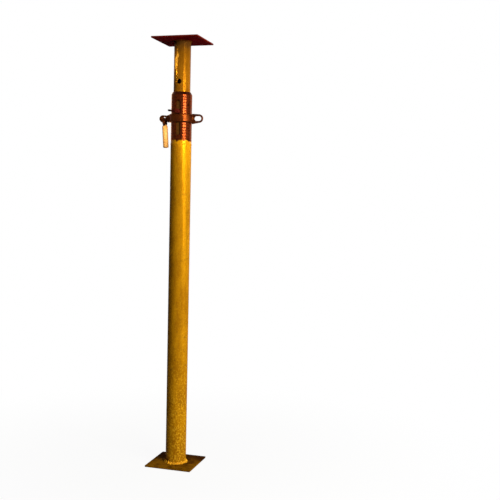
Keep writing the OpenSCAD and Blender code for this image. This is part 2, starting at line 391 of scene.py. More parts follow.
@dataclass(frozen=True, kw_only=True)
class ZincPlate(Finish):
    """Yellow zinc plate on drawn tube or sheared plate, with marks along one axis.

    The shares say how strongly each mark shows: soiling the dirt patches, dipped the spots low down,
    the painted shade under the head plate, the grease and painted shade inside the sleeve, and the painted
    shadow towards the back; dulling says how much duller the handled foot is.
    """

    marks: tuple[float, float, float] = (1.0, 1.0, 0.012)
    # Colour of the dirt patches, and also of the painted shade and painted shadow laid below.
    dirt_and_shade: Colour = (0.05, 0.02, 0.006)
    soiling: float = 0.35
    dipped: float = 0.0
    # Painted shade: how much darker the tube gets just under the head plate.
    head_shade: float = 0.0
    # Grease and painted shade: how much darker the tube is below the sleeve's mouth, inside the sleeve.
    grease_and_sleeve_shade: float = 0.0
    # Painted shadow: how much darker the piece gets towards its back (+Y), behind the tube.
    back_shadow: float = 0.0
    dulling: float = 0.0

    CLOUDS = Grain(30 * MM, 5, 0.55)
    CLOUD_DRAW = (1.0, 1.0, 0.35)
    CLOUDED = Band(0.4, 0.62, 0.5)
    LINES = Grain(1.6 * MM, 3)
    LINED = Band(0.5, 0.72, 0.35)
    GRAINS = Grain(1.8 * MM, 4, 0.65)
    SPANGLED = Band(0.52, 0.78, 0.7)
    PITTED = Band(0.56, 0.8, 0.5)
    SOIL = Grain(16 * MM, 6, 0.65)
    SOILED = Band(0.56, 0.72)
    SPOTS = Grain(4.5 * MM, 3, 0.7)
    SPOTTED = Band(0.5, 0.62)
    BETWEEN_SPOTS = Band(0.54, 0.7, 0.4)
    UPPER_PART = Band(0.1, 0.4, 0.75)
    UNHANDLED = Band(0.3, 0.62)
    PATCHES = Grain(11 * MM, 5)
    PATCH_SWING = 0.15
    LINE_SWING = 0.1
    PEEL = Grain(3.2 * MM, 4)
    PEEL_SHARE = 0.65
    HEAD = crown("inner_tube").z
    # Painted shade under the head plate: the tube darkens upwards across this ragged edge.
    UNDER_HEAD_SHADE = Edge(HEAD - 41 * MM, HEAD - 4 * MM, 30 * MM, Grain(14 * MM, 4))
    MOUTH = crown("threaded_sleeve").z
    # Grease and painted shade: the tube darkens below this ragged edge, just under the sleeve's mouth.
    OUT_OF_SLEEVE = Edge(MOUTH - 6 * MM, MOUTH - 4 * MM, 6 * MM, Grain(9 * MM, 4))
    # Painted shadow of the tube: the plate darkens towards +Y across this wide ragged edge.
    BACK_SHADOW_EDGE = Edge(-25 * MM, 45 * MM, 120 * MM, Grain(30 * MM, 5, 0.65))

    def _lines(self, tree: Tree, at: Wire) -> Wire:
        """Fine lines that drawing and handling leave along the piece."""
        return self.LINES.on(tree, tree.scaled(at, self.marks))

    def colour(self, tree: Tree, at: Wire) -> Wire:
        """Mottled zinc with drawing marks, soiled patches, spangles, and any painted shade and painted shadow
        that is set.

        Args:
            tree: The tree of the finish.
            at: The place on the piece.

        Returns:
            The colour.
        """
        _, y, z = tree.split(at)
        clouds = self.CLOUDS.on(tree, tree.scaled(at, self.CLOUD_DRAW))
        colour = tree.lay(self.CLOUDED.of(clouds), self.base, self.deep)
        colour = tree.lay(self.LINED.of(self._lines(tree, at)), colour, self.deep)
        grains = self.GRAINS.on(tree, at)
        colour = tree.lay(self.SPANGLED.of(grains), colour, self.light)
        colour = tree.lay(self.PITTED.of(1 - grains), colour, self.deep)
        dirt_and_shade = self.SOILED.of(self.SOIL.on(tree, at))
        colour = tree.lay(dirt_and_shade * self.soiling, colour, self.dirt_and_shade)
        if self.dipped:
            spots = self.SPOTS.on(tree, at)
            low_down = (1 - self.UPPER_PART.of(z)) * self.dipped
            colour = tree.lay(low_down * self.SPOTTED.of(spots), colour, self.light)
            colour = tree.lay(low_down * self.BETWEEN_SPOTS.of(1 - spots), colour, self.deep)
        # Painted shade just under the head plate.
        if self.head_shade:
            colour = tree.lay(self.UNDER_HEAD_SHADE.past(tree, at, z) * self.head_shade, colour, self.dirt_and_shade)
        # Grease and painted shade below the sleeve's mouth.
        if self.grease_and_sleeve_shade:
            colour = tree.lay((1 - self.OUT_OF_SLEEVE.past(tree, at, z)) * self.grease_and_sleeve_shade, colour, self.dirt_and_shade)
        # Painted shadow towards the back.
        if self.back_shadow:
            colour = tree.lay(self.BACK_SHADOW_EDGE.past(tree, at, y) * self.back_shadow, colour, self.dirt_and_shade)
        return colour

    def roughness(self, tree: Tree, at: Wire) -> Wire:
        """Satin, duller in blotches and towards the foot, sharper along the drawing marks.

        Args:
            tree: The tree of the finish.
            at: The place on the piece.

        Returns:
            The roughness.
        """
        _, _, z = tree.split(at)
        handled = (1 - self.UNHANDLED.of(z)) * self.dulling
        lines = (self._lines(tree, at) - 0.5) * self.LINE_SWING
        return super().roughness(tree, at) + handled + lines

    def height(self, tree: Tree, at: Wire) -> Wire:
        """Orange peel of the plate, with the drawing marks cut in."""
        return self.PEEL.on(tree, at) * self.PEEL_SHARE + self._lines(tree, at) * (1 - self.PEEL_SHARE)


@dataclass(frozen=True, kw_only=True)
class OxidePaint(Finish):
    """Red oxide paint, chipped and rubbed where the metal stands proud."""

    wear: Colour
    wearing: float = 0.5

    CLOUDS = Grain(22 * MM, 5)
    CLOUDED = Band(0.36, 0.64, 0.7)
    SPECKS = Grain(2.2 * MM, 4)
    SPECKED = Band(0.5, 0.75, 0.5)
    CHIPS = Grain(3.5 * MM, 5, 0.7)
    CHIPPED = Band(0.42, 0.6)
    PROUD = Band(0.51, 0.56)

    def colour(self, tree: Tree, at: Wire) -> Wire:
        """Streaky paint with dark stains and rubbed edges.

        Args:
            tree: The tree of the finish.
            at: The place on the piece.

        Returns:
            The colour.
        """
        colour = tree.lay(self.CLOUDED.of(self.CLOUDS.on(tree, at)), self.base, self.deep)
        colour = tree.lay(self.SPECKED.of(self.SPECKS.on(tree, at)), colour, self.light)
        proud = self.PROUD.of(tree.out("Pointiness", "ShaderNodeNewGeometry"))
        chips = self.CHIPPED.of(self.CHIPS.on(tree, at))
        return tree.lay(proud * chips * self.wearing, colour, self.wear)


@dataclass(frozen=True, kw_only=True)
class ThreadPaint(OxidePaint):
    """Paint on the threaded sleeve, rubbed on the crests, with bare zinc below its lower edge."""

    zinc: Colour = (0.42, 0.18, 0.002)
    zinc_metal: float = 0.1

    CREST = crown("threaded_sleeve").x
    CRESTS = Band(CREST - THREAD_DEPTH * 0.8, CREST - THREAD_DEPTH * 0.15)
    RUBS = Grain(6 * MM, 5)
    RUBBED = Band(0.3, 0.62, 0.27)
    RUBBED_ALL_OVER = 0.06
    LOWER_EDGE = foot("threaded_sleeve").z + 10 * MM
    PAINTED = Edge(LOWER_EDGE - 0.8 * MM, LOWER_EDGE + 0.8 * MM, -20 * MM, Grain(9 * MM, 4))

    def _painted(self, tree: Tree, at: Wire) -> Wire:
        """1 on the paint and 0 below its ragged lower edge."""
        _, _, z = tree.split(at)
        return self.PAINTED.past(tree, at, z)

    def colour(self, tree: Tree, at: Wire) -> Wire:
        """Adds the crests' rub and the lower edge to the paint.

        Args:
            tree: The tree of the finish.
            at: The place on the piece.

        Returns:
            The colour.
        """
        rub = self.RUBBED_ALL_OVER + self.RUBBED.of(self.RUBS.on(tree, at))
        crests = self.CRESTS.of(tree.off_axis(at))
        colour = tree.lay(crests * rub, super().colour(tree, at), self.wear)
        return tree.lay(self._painted(tree, at), self.zinc, colour)

    def metallic(self, tree: Tree, at: Wire) -> Wire:
        """The paint's sheen, and less of it on the bare zinc."""
        painted = self._painted(tree, at)
        return super().metallic(tree, at) * painted + self.zinc_metal * (1 - painted)


AMBER_SHEEN = (1.0, 0.55, 0.12)
EVEN = (1.0, 1.0, 1.0)

GOLD_TUBE = ZincPlate(
    name="gold_tube", base=paint("b47a08"), deep=paint("7c4804"), light=paint("e0a822"),
    rough=0.19, metal=0.13, relief=0.06 * MM, dulling=0.12, soiling=0.4, dipped=0.75,
)
# Darker just under the head plate (painted shade) and below the sleeve's mouth (grease and painted shade).
GOLD_INNER = ZincPlate(
    name="gold_inner", base=paint("825008"), deep=paint("482603"), light=paint("b87c12"),
    rough=0.2, metal=0.2, relief=0.08 * MM, soiling=0.55, dipped=0.5, head_shade=0.75, grease_and_sleeve_shade=0.8,
)
# Darker towards the back, behind the tube: a painted shadow in its near-black dirt colour.
GOLD_PLATE = ZincPlate(
    name="gold_plate", base=paint("825607"), deep=paint("3c2002"), light=paint("a07010"),
    rough=0.6, metal=0.02, relief=0.3 * MM, marks=(0.2, 1.0, 1.0),
    dirt_and_shade=paint("2a0a06"), soiling=0.85, back_shadow=0.8,
)
GOLD_HANDLE = ZincPlate(
    name="gold_handle", base=paint("ffbc6a"), deep=paint("d08a20"), light=paint("ffd490"),
    rough=0.4, metal=0.1, relief=0.08 * MM, soiling=0.25,
)
# Light weld metal, its base raised towards the lumps' highlights: partly a painted highlight.
WELD_METAL_PAINTED_HIGHLIGHT = ZincPlate(
    name="weld_metal", base=paint("ffb828"), deep=paint("804c06"), light=paint("ffd050"),
    rough=0.42, metal=0.1, relief=0.15 * MM, marks=EVEN,
)
# Lighter than the inner tube's zinc, in the same slot: partly a painted highlight for the light the run
# catches.
RUN_ZINC_PAINTED_LIGHT = ZincPlate(
    name="run_zinc_painted_light", slot="gold_inner", base=paint("e0a030"), deep=paint("b87014"), light=paint("f8c858"),
    rough=0.3, metal=0.1, relief=0.1 * MM, marks=EVEN, soiling=0.1,
)
# A darker copy of the weld metal for the bead under the head plate: painted shade.
WELD_IN_PAINTED_SHADE = ZincPlate(
    name="weld_painted_shade", slot="weld_metal", base=paint("4c2406"), deep=paint("220804"), light=paint("80480e"),
    rough=0.5, metal=0.05, relief=0.15 * MM, marks=EVEN,
)
# Red oxide, made as dark as the plate's underside looks in shade: partly painted shade.
RED_PLATE_PAINTED_SHADE = OxidePaint(
    name="red_plate", base=paint("6e060a"), deep=paint("4a040a"), light=paint("961a10"),
    rough=0.6, metal=0.02, relief=0.25 * MM, wear=paint("8a4a10"), wearing=0.3,
)
RED_CAST = OxidePaint(
    name="red_cast", base=paint("401904"), deep=paint("1e0708"), light=paint("60300a"),
    rough=0.31, metal=0.9, relief=0.1 * MM, gloss=Gloss(level=0.06, tint=AMBER_SHEEN),
    wear=paint("8a4c14"), wearing=0.6,
)
DARK_PIN = OxidePaint(
    name="dark_pin", base=paint("3c0c0a"), deep=paint("1a0206"), light=paint("5c1c10"),
    rough=0.5, metal=0.4, relief=0.2 * MM, wear=paint("7a3a18"), wearing=0.3,
)
RED_THREAD = ThreadPaint(
    name="red_thread", base=paint("350f04"), deep=paint("200705"), light=paint("441704"),
    rough=0.23, metal=0.9, relief=0.04 * MM, gloss=Gloss(level=0.08, tint=AMBER_SHEEN), wear=paint("66290a"),
)
FINISHES = (
    GOLD_TUBE, GOLD_INNER, GOLD_PLATE, GOLD_HANDLE, WELD_METAL_PAINTED_HIGHLIGHT, RUN_ZINC_PAINTED_LIGHT, WELD_IN_PAINTED_SHADE, RED_PLATE_PAINTED_SHADE, RED_CAST,
    DARK_PIN, RED_THREAD,
)


# ---------------------------------------------------------------------------------------------- shapes


def in_scene(name: str, data: bpy.types.ID) -> bpy.types.Object:
    """Links a new object with that mesh, light or camera to the scene, at the origin.

    Args:
        name: Name of the object.
        data: Its mesh, light or camera.

    Returns:
        The object.
    """
    piece = bpy.data.objects.new(name, data)
    bpy.context.scene.collection.objects.link(piece)
    return piece


def apply_modifiers(piece: bpy.types.Object) -> None:
    """Makes the piece's modifiers part of its mesh.

    Args:
        piece: The piece, which keeps its name and gets a plain mesh.
    """
    graph = bpy.context.evaluated_depsgraph_get()
    mesh = bpy.data.meshes.new_from_object(piece.evaluated_get(graph))
    piece.modifiers.clear()
    piece.data = mesh


def tidy_mesh(mesh: bpy.types.Mesh, merge: float = SEAM) -> None:
    """Merges doubles, drops empty faces and turns every face outwards.

    Args:
        mesh: The mesh.
        merge: Points nearer to each other than this become one.
    """
    work = bmesh.new()
    work.from_mesh(mesh)
    bmesh.ops.remove_doubles(work, verts=work.verts, dist=merge)
    bmesh.ops.dissolve_degenerate(work, edges=work.edges, dist=merge)
    bmesh.ops.recalc_face_normals(work, faces=work.faces)
    work.to_mesh(mesh)
    work.free()


def shaded(piece: bpy.types.Object, crease: Crease = Crease.DRAWN) -> bpy.types.Object:
    """Shades a piece smooth, apart from its creases, and gives it back.

    Args:
        piece: The piece.
        crease: The angle past which its edges stay sharp.

    Returns:
        The same piece.
    """
    piece.data.shade_smooth()
    piece.data.set_sharp_from_angle(angle=math.radians(crease.value))
    return piece


def rings_mesh(name: str, rings: list[list[Vector]]) -> bpy.types.Mesh:
    """Skins closed rings of points into a closed mesh, the last ring joined to the first.

    Args:
        name: Name of the mesh.
        rings: Rings with the same number of points each.

    Returns:
        The mesh, with faces that point outwards.
    """
    count = len(rings[0])
    faces = []
    for i in range(len(rings)):
        low, high = i * count, (i + 1) % len(rings) * count
        for j in range(count):
            k = (j + 1) % count
            faces.append((low + j, low + k, high + k, high + j))
    mesh = bpy.data.meshes.new(name)
    mesh.from_pydata([point for ring in rings for point in ring], [], faces)
    tidy_mesh(mesh)
    return mesh


def lathe(name: str, profile: list[tuple[float, float]], steps: int) -> bpy.types.Mesh:
    """Turns a closed profile of radius and height round Z, poles included.

    Args:
        name: Name of the mesh.
        profile: Radius and height of each point round the section.
        steps: Faces round the axis.

    Returns:
        The mesh.
    """
    rings = []
    for radius, height in profile:
        angles = (TURN * j / steps for j in range(steps))
        rings.append([Vector((radius * math.cos(a), radius * math.sin(a), height)) for a in angles])
    return rings_mesh(name, rings)


def tube_mesh(name: str, node: str, wall: float, row: float) -> bpy.types.Mesh:
    """A tube with broken ends, as wide and as long as a CAD node.

    Args:
        name: Name of the mesh.
        node: The CAD node.
        wall: Wall.
        row: Greatest height of a row of faces.

    Returns:
        The mesh.
    """
    low, high, radius = foot(node).z, crown(node).z, crown(node).x
    rows = math.ceil((high - low) / row)
    heights = [low + BROKEN_EDGE + (high - low - 2 * BROKEN_EDGE) * i / rows for i in range(rows + 1)]
    outside = [(radius - BROKEN_EDGE, low)] + [(radius, z) for z in heights] + [(radius - BROKEN_EDGE, high)]
    bore = [(radius - wall, z) for z in reversed(heights)]
    return lathe(name, outside + bore, TUBE_SIDES)


def cad_copy(name: str, node: str) -> bpy.types.Object:
    """A copy of a CAD node's mesh with its triangles merged into one skin.

    Args:
        name: Name of the copy.
        node: The CAD node.

    Returns:
        The copy.
    """
    mesh = frame["nodes"][node].data.copy()
    mesh.materials.clear()
    if mesh.has_custom_normals:
        mesh.normals_split_custom_set([(0.0, 0.0, 0.0)] * len(mesh.loops))
    tidy_mesh(mesh, 2 * SEAM)
    return in_scene(name, mesh)


class ShapeTree(Tree):
    """A Geometry Nodes tree with named inputs, which is run once and turned into a plain mesh."""

    def __init__(self, name: str) -> None:
        """Starts a tree with a geometry in, a geometry out and a material.

        Args:
            name: Name of the tree.
        """
        group = bpy.data.node_groups.new(name, "GeometryNodeTree")
        super().__init__(group)
        group.interface.new_socket("Geometry", in_out="INPUT", socket_type="NodeSocketGeometry")
        group.interface.new_socket("Geometry", in_out="OUTPUT", socket_type="NodeSocketGeometry")
        self.entry = self.node("NodeGroupInput")
        self.finish = self.size("Material", Kind.MATERIAL)

    def size(self, name: str, kind: Kind = Kind.LENGTH) -> Wire:
        """Adds a named input and returns its wire."""
        self.inner.interface.new_socket(name, in_out="INPUT", socket_type=kind.value)
        return self.wire(self.entry, name)

    def sizes(self, *names: str) -> list[Wire]:
        """Adds several named lengths or shares and returns their wires."""
        return [self.size(name) for name in names]

    def place(self) -> tuple[Wire, ...]:
        """The X, Y and Z of each point."""
        return self.split(self.out("Position", "GeometryNodeInputPosition"))

    def sheet(self, across: int, along: int) -> Wire:
        """A flat sheet, one by one, with that many faces each way and its middle at the origin."""
        sockets = {"Size X": 1.0, "Size Y": 1.0, "Vertices X": across + 1, "Vertices Y": along + 1}
        return self.out("Mesh", "GeometryNodeMeshGrid", sockets)

    def loop(self, around: int, rows: int) -> tuple[Wire, Wire, Wire]:
        """A sheet that closes on itself both ways, before it is bent.

        Args:
            around: Steps round the axis.
            rows: Steps round the section.

        Returns:
            The mesh, the angle round the axis and the row's number, which starts again at its last edge.
        """
        x, y, _ = self.place()
        row = self.math("ROUND", (y + 0.5) * rows) % rows
        return self.sheet(around, rows), (x + 0.5) * TURN, row

    def bend(self, mesh: Wire, angle: Wire, radius: Wire, height: Wire) -> Wire:
        """Puts each point of a sheet at its angle, radius and height, and closes the seams.

        Args:
            mesh: The sheet.
            angle: Angle of each point round the axis.
            radius: Its distance from the axis.
            height: Its height.

        Returns:
            The bent sheet.
        """
        place = self.join(radius * angle.cosine(), radius * angle.sine(), height)
        bent = self.out("Geometry", "GeometryNodeSetPosition", {"Geometry": mesh, "Position": place})
        sockets = {"Geometry": bent, "Distance": SEAM}
        return self.out("Geometry", "GeometryNodeMergeByDistance", sockets)

    def close(self, geometry: Wire) -> None:
        """Ends the tree: real geometry that wears its material.

        Args:
            geometry: What the tree has made.
        """
        real = self.out("Geometry", "GeometryNodeRealizeInstances", {"Geometry": geometry})
        sockets = {"Geometry": real, "Material": self.finish}
        dressed = self.out("Geometry", "GeometryNodeSetMaterial", sockets)
        self.node("NodeGroupOutput", {"Geometry": dressed})

    def run(self, name: str, sizes: dict[str, Any], blank: Blank = None) -> bpy.types.Object:
        """Runs the tree once.

        Args:
            name: Name of the piece.
            sizes: A value for each named input.
            blank: The mesh that the tree changes, if it doesn't make its own.

        Returns:
            An object with a plain, tidy mesh and no modifier.
        """
        piece = in_scene(name, blank or bpy.data.meshes.new(name))
        modifier = piece.modifiers.new("shape", "NODES")
        modifier.node_group = self.inner
        for item in self.inner.interface.items_tree:
            if item.in_out == "INPUT" and item.name in sizes:
                modifier[item.identifier] = sizes[item.name]
        apply_modifiers(piece)
        tidy_mesh(piece.data)
        return piece


class ThreadTree(ShapeTree):
    """A ring with a thread rolled on the face that runs, and a plain face behind it."""

    ROWS = 320
    AROUND = 144
    FLANK = Band(0.03, 0.2)

    def __init__(self) -> None:
        """Builds the tree."""
        super().__init__("thread")
        face, back, bottom, top = self.sizes("Face Radius", "Back Radius", "Bottom", "Top")
        pitch, depth, run_out, taper, mouth = self.sizes("Pitch", "Depth", "Run-out", "Taper", "Mouth Radius")
        mesh, angle, row = self.loop(self.AROUND, self.ROWS + 3)
        share = (row / self.ROWS).least(1.0) * (row < self.ROWS + 1.5)
        height = bottom + (top - bottom) * share
        phase = (height / pitch - angle / TURN) % 1.0
        crest = self.FLANK.of(abs(phase - 0.5) * 2)
        full = height.step(bottom + run_out, bottom + run_out * 2)
        rolled = face - depth * (1 - crest) * full
        cone = face - (face - mouth) * ((height - top + taper) / taper).most(0.0)
        front = rolled.least(cone)
        radius = front + (back - front) * (row > self.ROWS + 0.5)
        self.close(self.bend(mesh, angle, radius, height))


class WeldTree(ShapeTree):
    """A weld bead round a tube, with the scalloped ripples that the pool leaves."""

    ARC = 12
    AROUND = 420
    SINK = 0.5 * MM
    SWEEP = 1.6
    CREST_ROUNDING = 0.6
    DRIFT = Grain(0.16, 3, 0.5)

    def __init__(self) -> None:
        """Builds the tree."""
        super().__init__("weld")
        radius, height, way, reach, climb = self.sizes("Radius", "Height", "Way", "Reach", "Climb")
        span, ripples, ripple, wander = self.sizes("Span", "Ripples", "Ripple", "Wander")
        fullness, seed = self.sizes("Fullness", "Seed")
        mesh, angle, row = self.loop(self.AROUND, self.ARC + 2)
        across = span * (row / self.ARC).least(1.0)
        flat = 1 / (abs(across.sine()) + abs(across.cosine()))
        swell = flat + (1 - flat) * fullness
        lean = row / self.ARC - 0.5
        wave = (angle * ripples / TURN + lean * lean * self.SWEEP) * math.pi
        scallop = abs(wave.sine()) ** self.CREST_ROUNDING
        drift = self.DRIFT.swing(self, self.join(angle.cosine(), angle.sine(), seed), wander)
        size = swell * (1 + (scallop - 1) * ripple + drift)
        on_face = row < self.ARC + 0.5
        out = (reach * across.sine() * size + self.SINK) * on_face - self.SINK
        up = (climb * across.cosine() * size + self.SINK) * on_face - self.SINK
        self.close(self.bend(mesh, angle, radius + out, height + up * way))


class CutTree(ShapeTree):
    """Cuts a row of slots or round holes across a piece, along Y and through its axis."""

    AROUND = 64

    def __init__(self) -> None:
        """Builds the tree."""
        super().__init__("cross_holes")
        width, length, reach, top, pitch = self.sizes("Width", "Length", "Reach", "Top", "Pitch")
        count = self.size("Count", Kind.COUNT)
        sockets = {"Vertices": self.AROUND, "Radius": width / 2, "Depth": reach}
        drum = self.out("Mesh", "GeometryNodeMeshCylinder", sockets)
        x, y, z = self.place()
        place = self.join(x, z, y + self.math("SIGN", y) * (length - width) / 2)
        cutter = self.out("Geometry", "GeometryNodeSetPosition", {"Geometry": drum, "Position": place})
        turned = self.out("Mesh", "GeometryNodeFlipFaces", {"Mesh": cutter})
        start, offset = self.join(0.0, 0.0, top), self.join(0.0, 0.0, -1 * pitch)
        sockets = {"Count": count, "Start Location": start, "Offset": offset}
        places = self.out("Mesh", "GeometryNodeMeshLine", sockets)
        sockets = {"Points": places, "Instance": turned}
        row = self.out("Instances", "GeometryNodeInstanceOnPoints", sockets)
        cutters = self.out("Geometry", "GeometryNodeRealizeInstances", {"Geometry": row})
        sockets = {"Mesh 1": self.wire(self.entry, "Geometry"), "Mesh 2": cutters}
        settings = {"operation": "DIFFERENCE", "solver": "EXACT"}
        self.close(self.out("Mesh", "GeometryNodeMeshBoolean", sockets, **settings))


class RunTree(ShapeTree):
    """A run of zinc that hangs on a tube: thin where it starts, full near its middle, drawn out below."""

    ACROSS = 20
    ALONG = 90
    SINK = 0.4 * MM
    START = -0.02
    TAIL_END = 1.02
    TAIL_THINNING = 0.8
    TIP = Band(0.9, 1.0)
    END_WIDTH = 0.05
    HUMP_ROUNDING = 0.6
    DRIFT = Band(0.1, 0.7)
    BENDS = 6
    SWAY = Grain(1.0, 2, 0.5)
    HALF = 0.4999

    def __init__(self) -> None:
        """Builds the tree."""
        super().__init__("zinc_run")
        radius, top, bottom, start, end = self.sizes("Radius", "Top", "Bottom", "Start Angle", "End Angle")
        width, thickness, belly, seed = self.sizes("Width", "Thickness", "Belly", "Seed")
        x, y, _ = self.place()
        down = 0.5 - y
        side = x * 2
        sway = self.SWAY.swing(self, self.join(down * self.BENDS, seed, 0.0), width / radius)
        tail = 1 - down.step(belly, self.TAIL_END) * self.TAIL_THINNING
        body = down.step(self.START, belly) * tail * (1 - self.TIP.of(down))
        half = width / 2 * (body + self.END_WIDTH)
        hump = (1 - side * side).most(0.0) ** self.HUMP_ROUNDING
        rim = (abs(x) > self.HALF).most(abs(y) > self.HALF)
        out = (thickness * hump * body + self.SINK) * (1 - rim) - self.SINK
        angle = start + (end - start) * self.DRIFT.of(down) + sway + side * half / radius
        height = top + (bottom - top) * down
        self.close(self.bend(self.sheet(self.ACROSS, self.ALONG), angle, radius + out, height))


class Workshop:
    """What every sub-assembly is made with: the finishes' materials and the shape trees."""

    def __init__(self) -> None:
        """Makes the materials and the trees."""
        self.materials = {finish.name: finish.material() for finish in FINISHES}
        self.weld, self.thread, self.cut, self.run = WeldTree(), ThreadTree(), CutTree(), RunTree()

    def dress(self, piece: bpy.types.Object, finish: Finish, body: str, *nodes: str) -> None:
        """Gives a piece its material in its one slot, puts it on its body and hides the CAD nodes that it
        stands for.

        Args:
            piece: The piece.
            finish: Its finish.
            body: The body that it moves with.
            nodes: The CAD nodes that it stands for, if there are any.
        """
        piece.data.materials.clear()
        piece.data.materials.append(self.materials[finish.name])
        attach(piece, body)
        if nodes:
            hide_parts(*nodes)
        LOG.info("%s: %d faces, on %s", piece.name, len(piece.data.polygons), body)


# ---------------------------------------------------------------------------------------------- pieces


@dataclass
class Plate:
    """A sheared square plate with a hole for a spigot and slightly rolled edges."""

    node: str
    hole: float = 19 * MM
    corner: float = 2 * MM
    edge: float = BROKEN_EDGE
    side_steps: int = 22
    corner_steps: int = 5
    ring_places: tuple[float, ...] = (0.04, 0.16, 0.32, 0.5, 0.68, 0.84, 0.95)

    def outline(self, half: float) -> list[Vector]:
        """Points round the plate, with its corners as arcs.

        Args:
            half: Half the plate's side.

        Returns:
            The points at height 0, counter-clockwise.
        """
        points = []
        span = half - self.corner
        for quarter in range(4):
            turn = Matrix.Rotation(quarter * TURN / 4, 3, "Z")
            for i in range(self.side_steps):
                points.append(turn @ Vector((half, span * (2 * i / self.side_steps - 1), 0)))
            for i in range(self.corner_steps + 1):
                angle = TURN / 4 * i / self.corner_steps
                arc = Vector((math.cos(angle), math.sin(angle), 0)) * self.corner
                points.append(turn @ (Vector((span, span, 0)) + arc))
        return points

    def shear(self, name: str) -> bpy.types.Object:
        """Skins the plate between its outline and its hole.

        Args:
            name: Name of the piece.

        Returns:
            The plate.
        """
        low, high = foot(self.node).z, crown(self.node).z
        rim = self.outline(crown(self.node).x)
        eye = [point.normalized() * self.hole for point in rim]
        near = self.edge / (crown(self.node).x - self.hole)
        shares = [near, *self.ring_places, 1 - near]
        section = [(0.0, low + self.edge), (0.0, high - self.edge)]
        section += [(share, high) for share in shares]
        section += [(1 - near * ROLL, high - self.edge * ROLL), (1.0, high - self.edge)]
        section += [(1.0, low + self.edge)]
        section += [(share, low) for share in reversed(shares)]
        rings = []
        for share, height in section:
            rings.append([a.lerp(b, share) + Vector((0, 0, height)) for a, b in zip(eye, rim)])
        return shaded(in_scene(name, rings_mesh(name, rings)))


@dataclass
class LowerProp:
    """The outer tube on its base plate, with the threaded sleeve welded on top."""

    tube_wall: float = 3.2 * MM
    row: float = 25 * MM
    foot_leg: float = 7 * MM
    foot_reach: float = 0.7
    butt_reach: float = 0.5 * MM
    butt_cap: float = 1.3
    bore: float = 25.15 * MM
    run_out: float = 7 * MM
    taper: float = 7.5 * MM
    mouth_wall: float = 1 * MM
    slot_width: float = 16 * MM
    slot_length: float = 100 * MM
    slot_land: float = 24 * MM
    body: str = "lower_prop"

    def outer_tube(self) -> bpy.types.Object:
        """The drawn tube from the plate to the sleeve."""
        name = "outer_tube_drawn"
        return shaded(in_scene(name, tube_mesh(name, "outer_tube", self.tube_wall, self.row)))

    def base_weld(self, tree: WeldTree) -> bpy.types.Object:
        """The fillet weld at the foot, a full lumpy bead.

        Args:
            tree: The tree that lays beads.

        Returns:
            The bead.
        """
        sizes = {
            "Radius": crown("outer_tube").x, "Height": crown("base_plate").z, "Way": 1.0,
            "Reach": self.foot_leg * self.foot_reach, "Climb": self.foot_leg, "Span": TURN / 4,
            "Ripples": 18.0, "Ripple": 0.6, "Wander": 1.8, "Fullness": -0.1, "Seed": 3.0,
        }
        return shaded(tree.run("base_weld_bead", sizes), Crease.FORMED)

    def sleeve(self, thread: ThreadTree, cut: CutTree) -> bpy.types.Object:
        """The sleeve with its rolled thread and its two slots.

        Args:
            thread: The tree that rolls the thread.
            cut: The tree that cuts the slots.

        Returns:
            The sleeve.
        """
        low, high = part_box("threaded_sleeve")
        sizes = {
            "Face Radius": high.x, "Back Radius": self.bore, "Bottom": low.z, "Top": high.z, "Pitch": PITCH,
            "Depth": THREAD_DEPTH, "Run-out": self.run_out, "Taper": self.taper,
            "Mouth Radius": self.bore + self.mouth_wall,
        }
        rolled = thread.run("sleeve_rolled", sizes)
        blank = rolled.data
        bpy.data.objects.remove(rolled)
        sizes = {
            "Width": self.slot_width, "Length": self.slot_length, "Reach": 4 * high.x, "Count": 1,
            "Pitch": 0.0, "Top": high.z - self.slot_land - self.slot_length / 2,
        }
        return shaded(cut.run("threaded_sleeve_rolled", sizes, blank), Crease.ROLLED)

    def sleeve_weld(self, tree: WeldTree) -> bpy.types.Object:
        """The low butt weld between the tube and the sleeve.

        Args:
            tree: The tree that lays beads.

        Returns:
            The bead.
        """
        centre = middle("sleeve_weld").z
        cap = (crown("sleeve_weld").z - centre) * self.butt_cap
        sizes = {
            "Radius": crown("outer_tube").x, "Height": centre, "Way": 1.0, "Reach": self.butt_reach,
            "Climb": cap, "Span": TURN / 2, "Ripples": 70.0, "Ripple": 0.25, "Wander": 0.5,
            "Fullness": 1.0, "Seed": 8.0,
        }
        return shaded(tree.run("sleeve_weld_bead", sizes), Crease.FORMED)

    def build(self, shop: Workshop) -> None:
        """Builds and dresses the pieces, from the floor up.

        Args:
            shop: The materials and trees to work with.
        """
        shop.dress(Plate("base_plate").shear("base_plate_sheared"), GOLD_PLATE, self.body, "base_plate")
        shop.dress(self.base_weld(shop.weld), WELD_METAL_PAINTED_HIGHLIGHT, self.body, "base_weld")
        shop.dress(self.outer_tube(), GOLD_TUBE, self.body, "outer_tube")
        shop.dress(self.sleeve(shop.thread, shop.cut), RED_THREAD, self.body, "threaded_sleeve")
        shop.dress(self.sleeve_weld(shop.weld), GOLD_TUBE, self.body, "sleeve_weld")


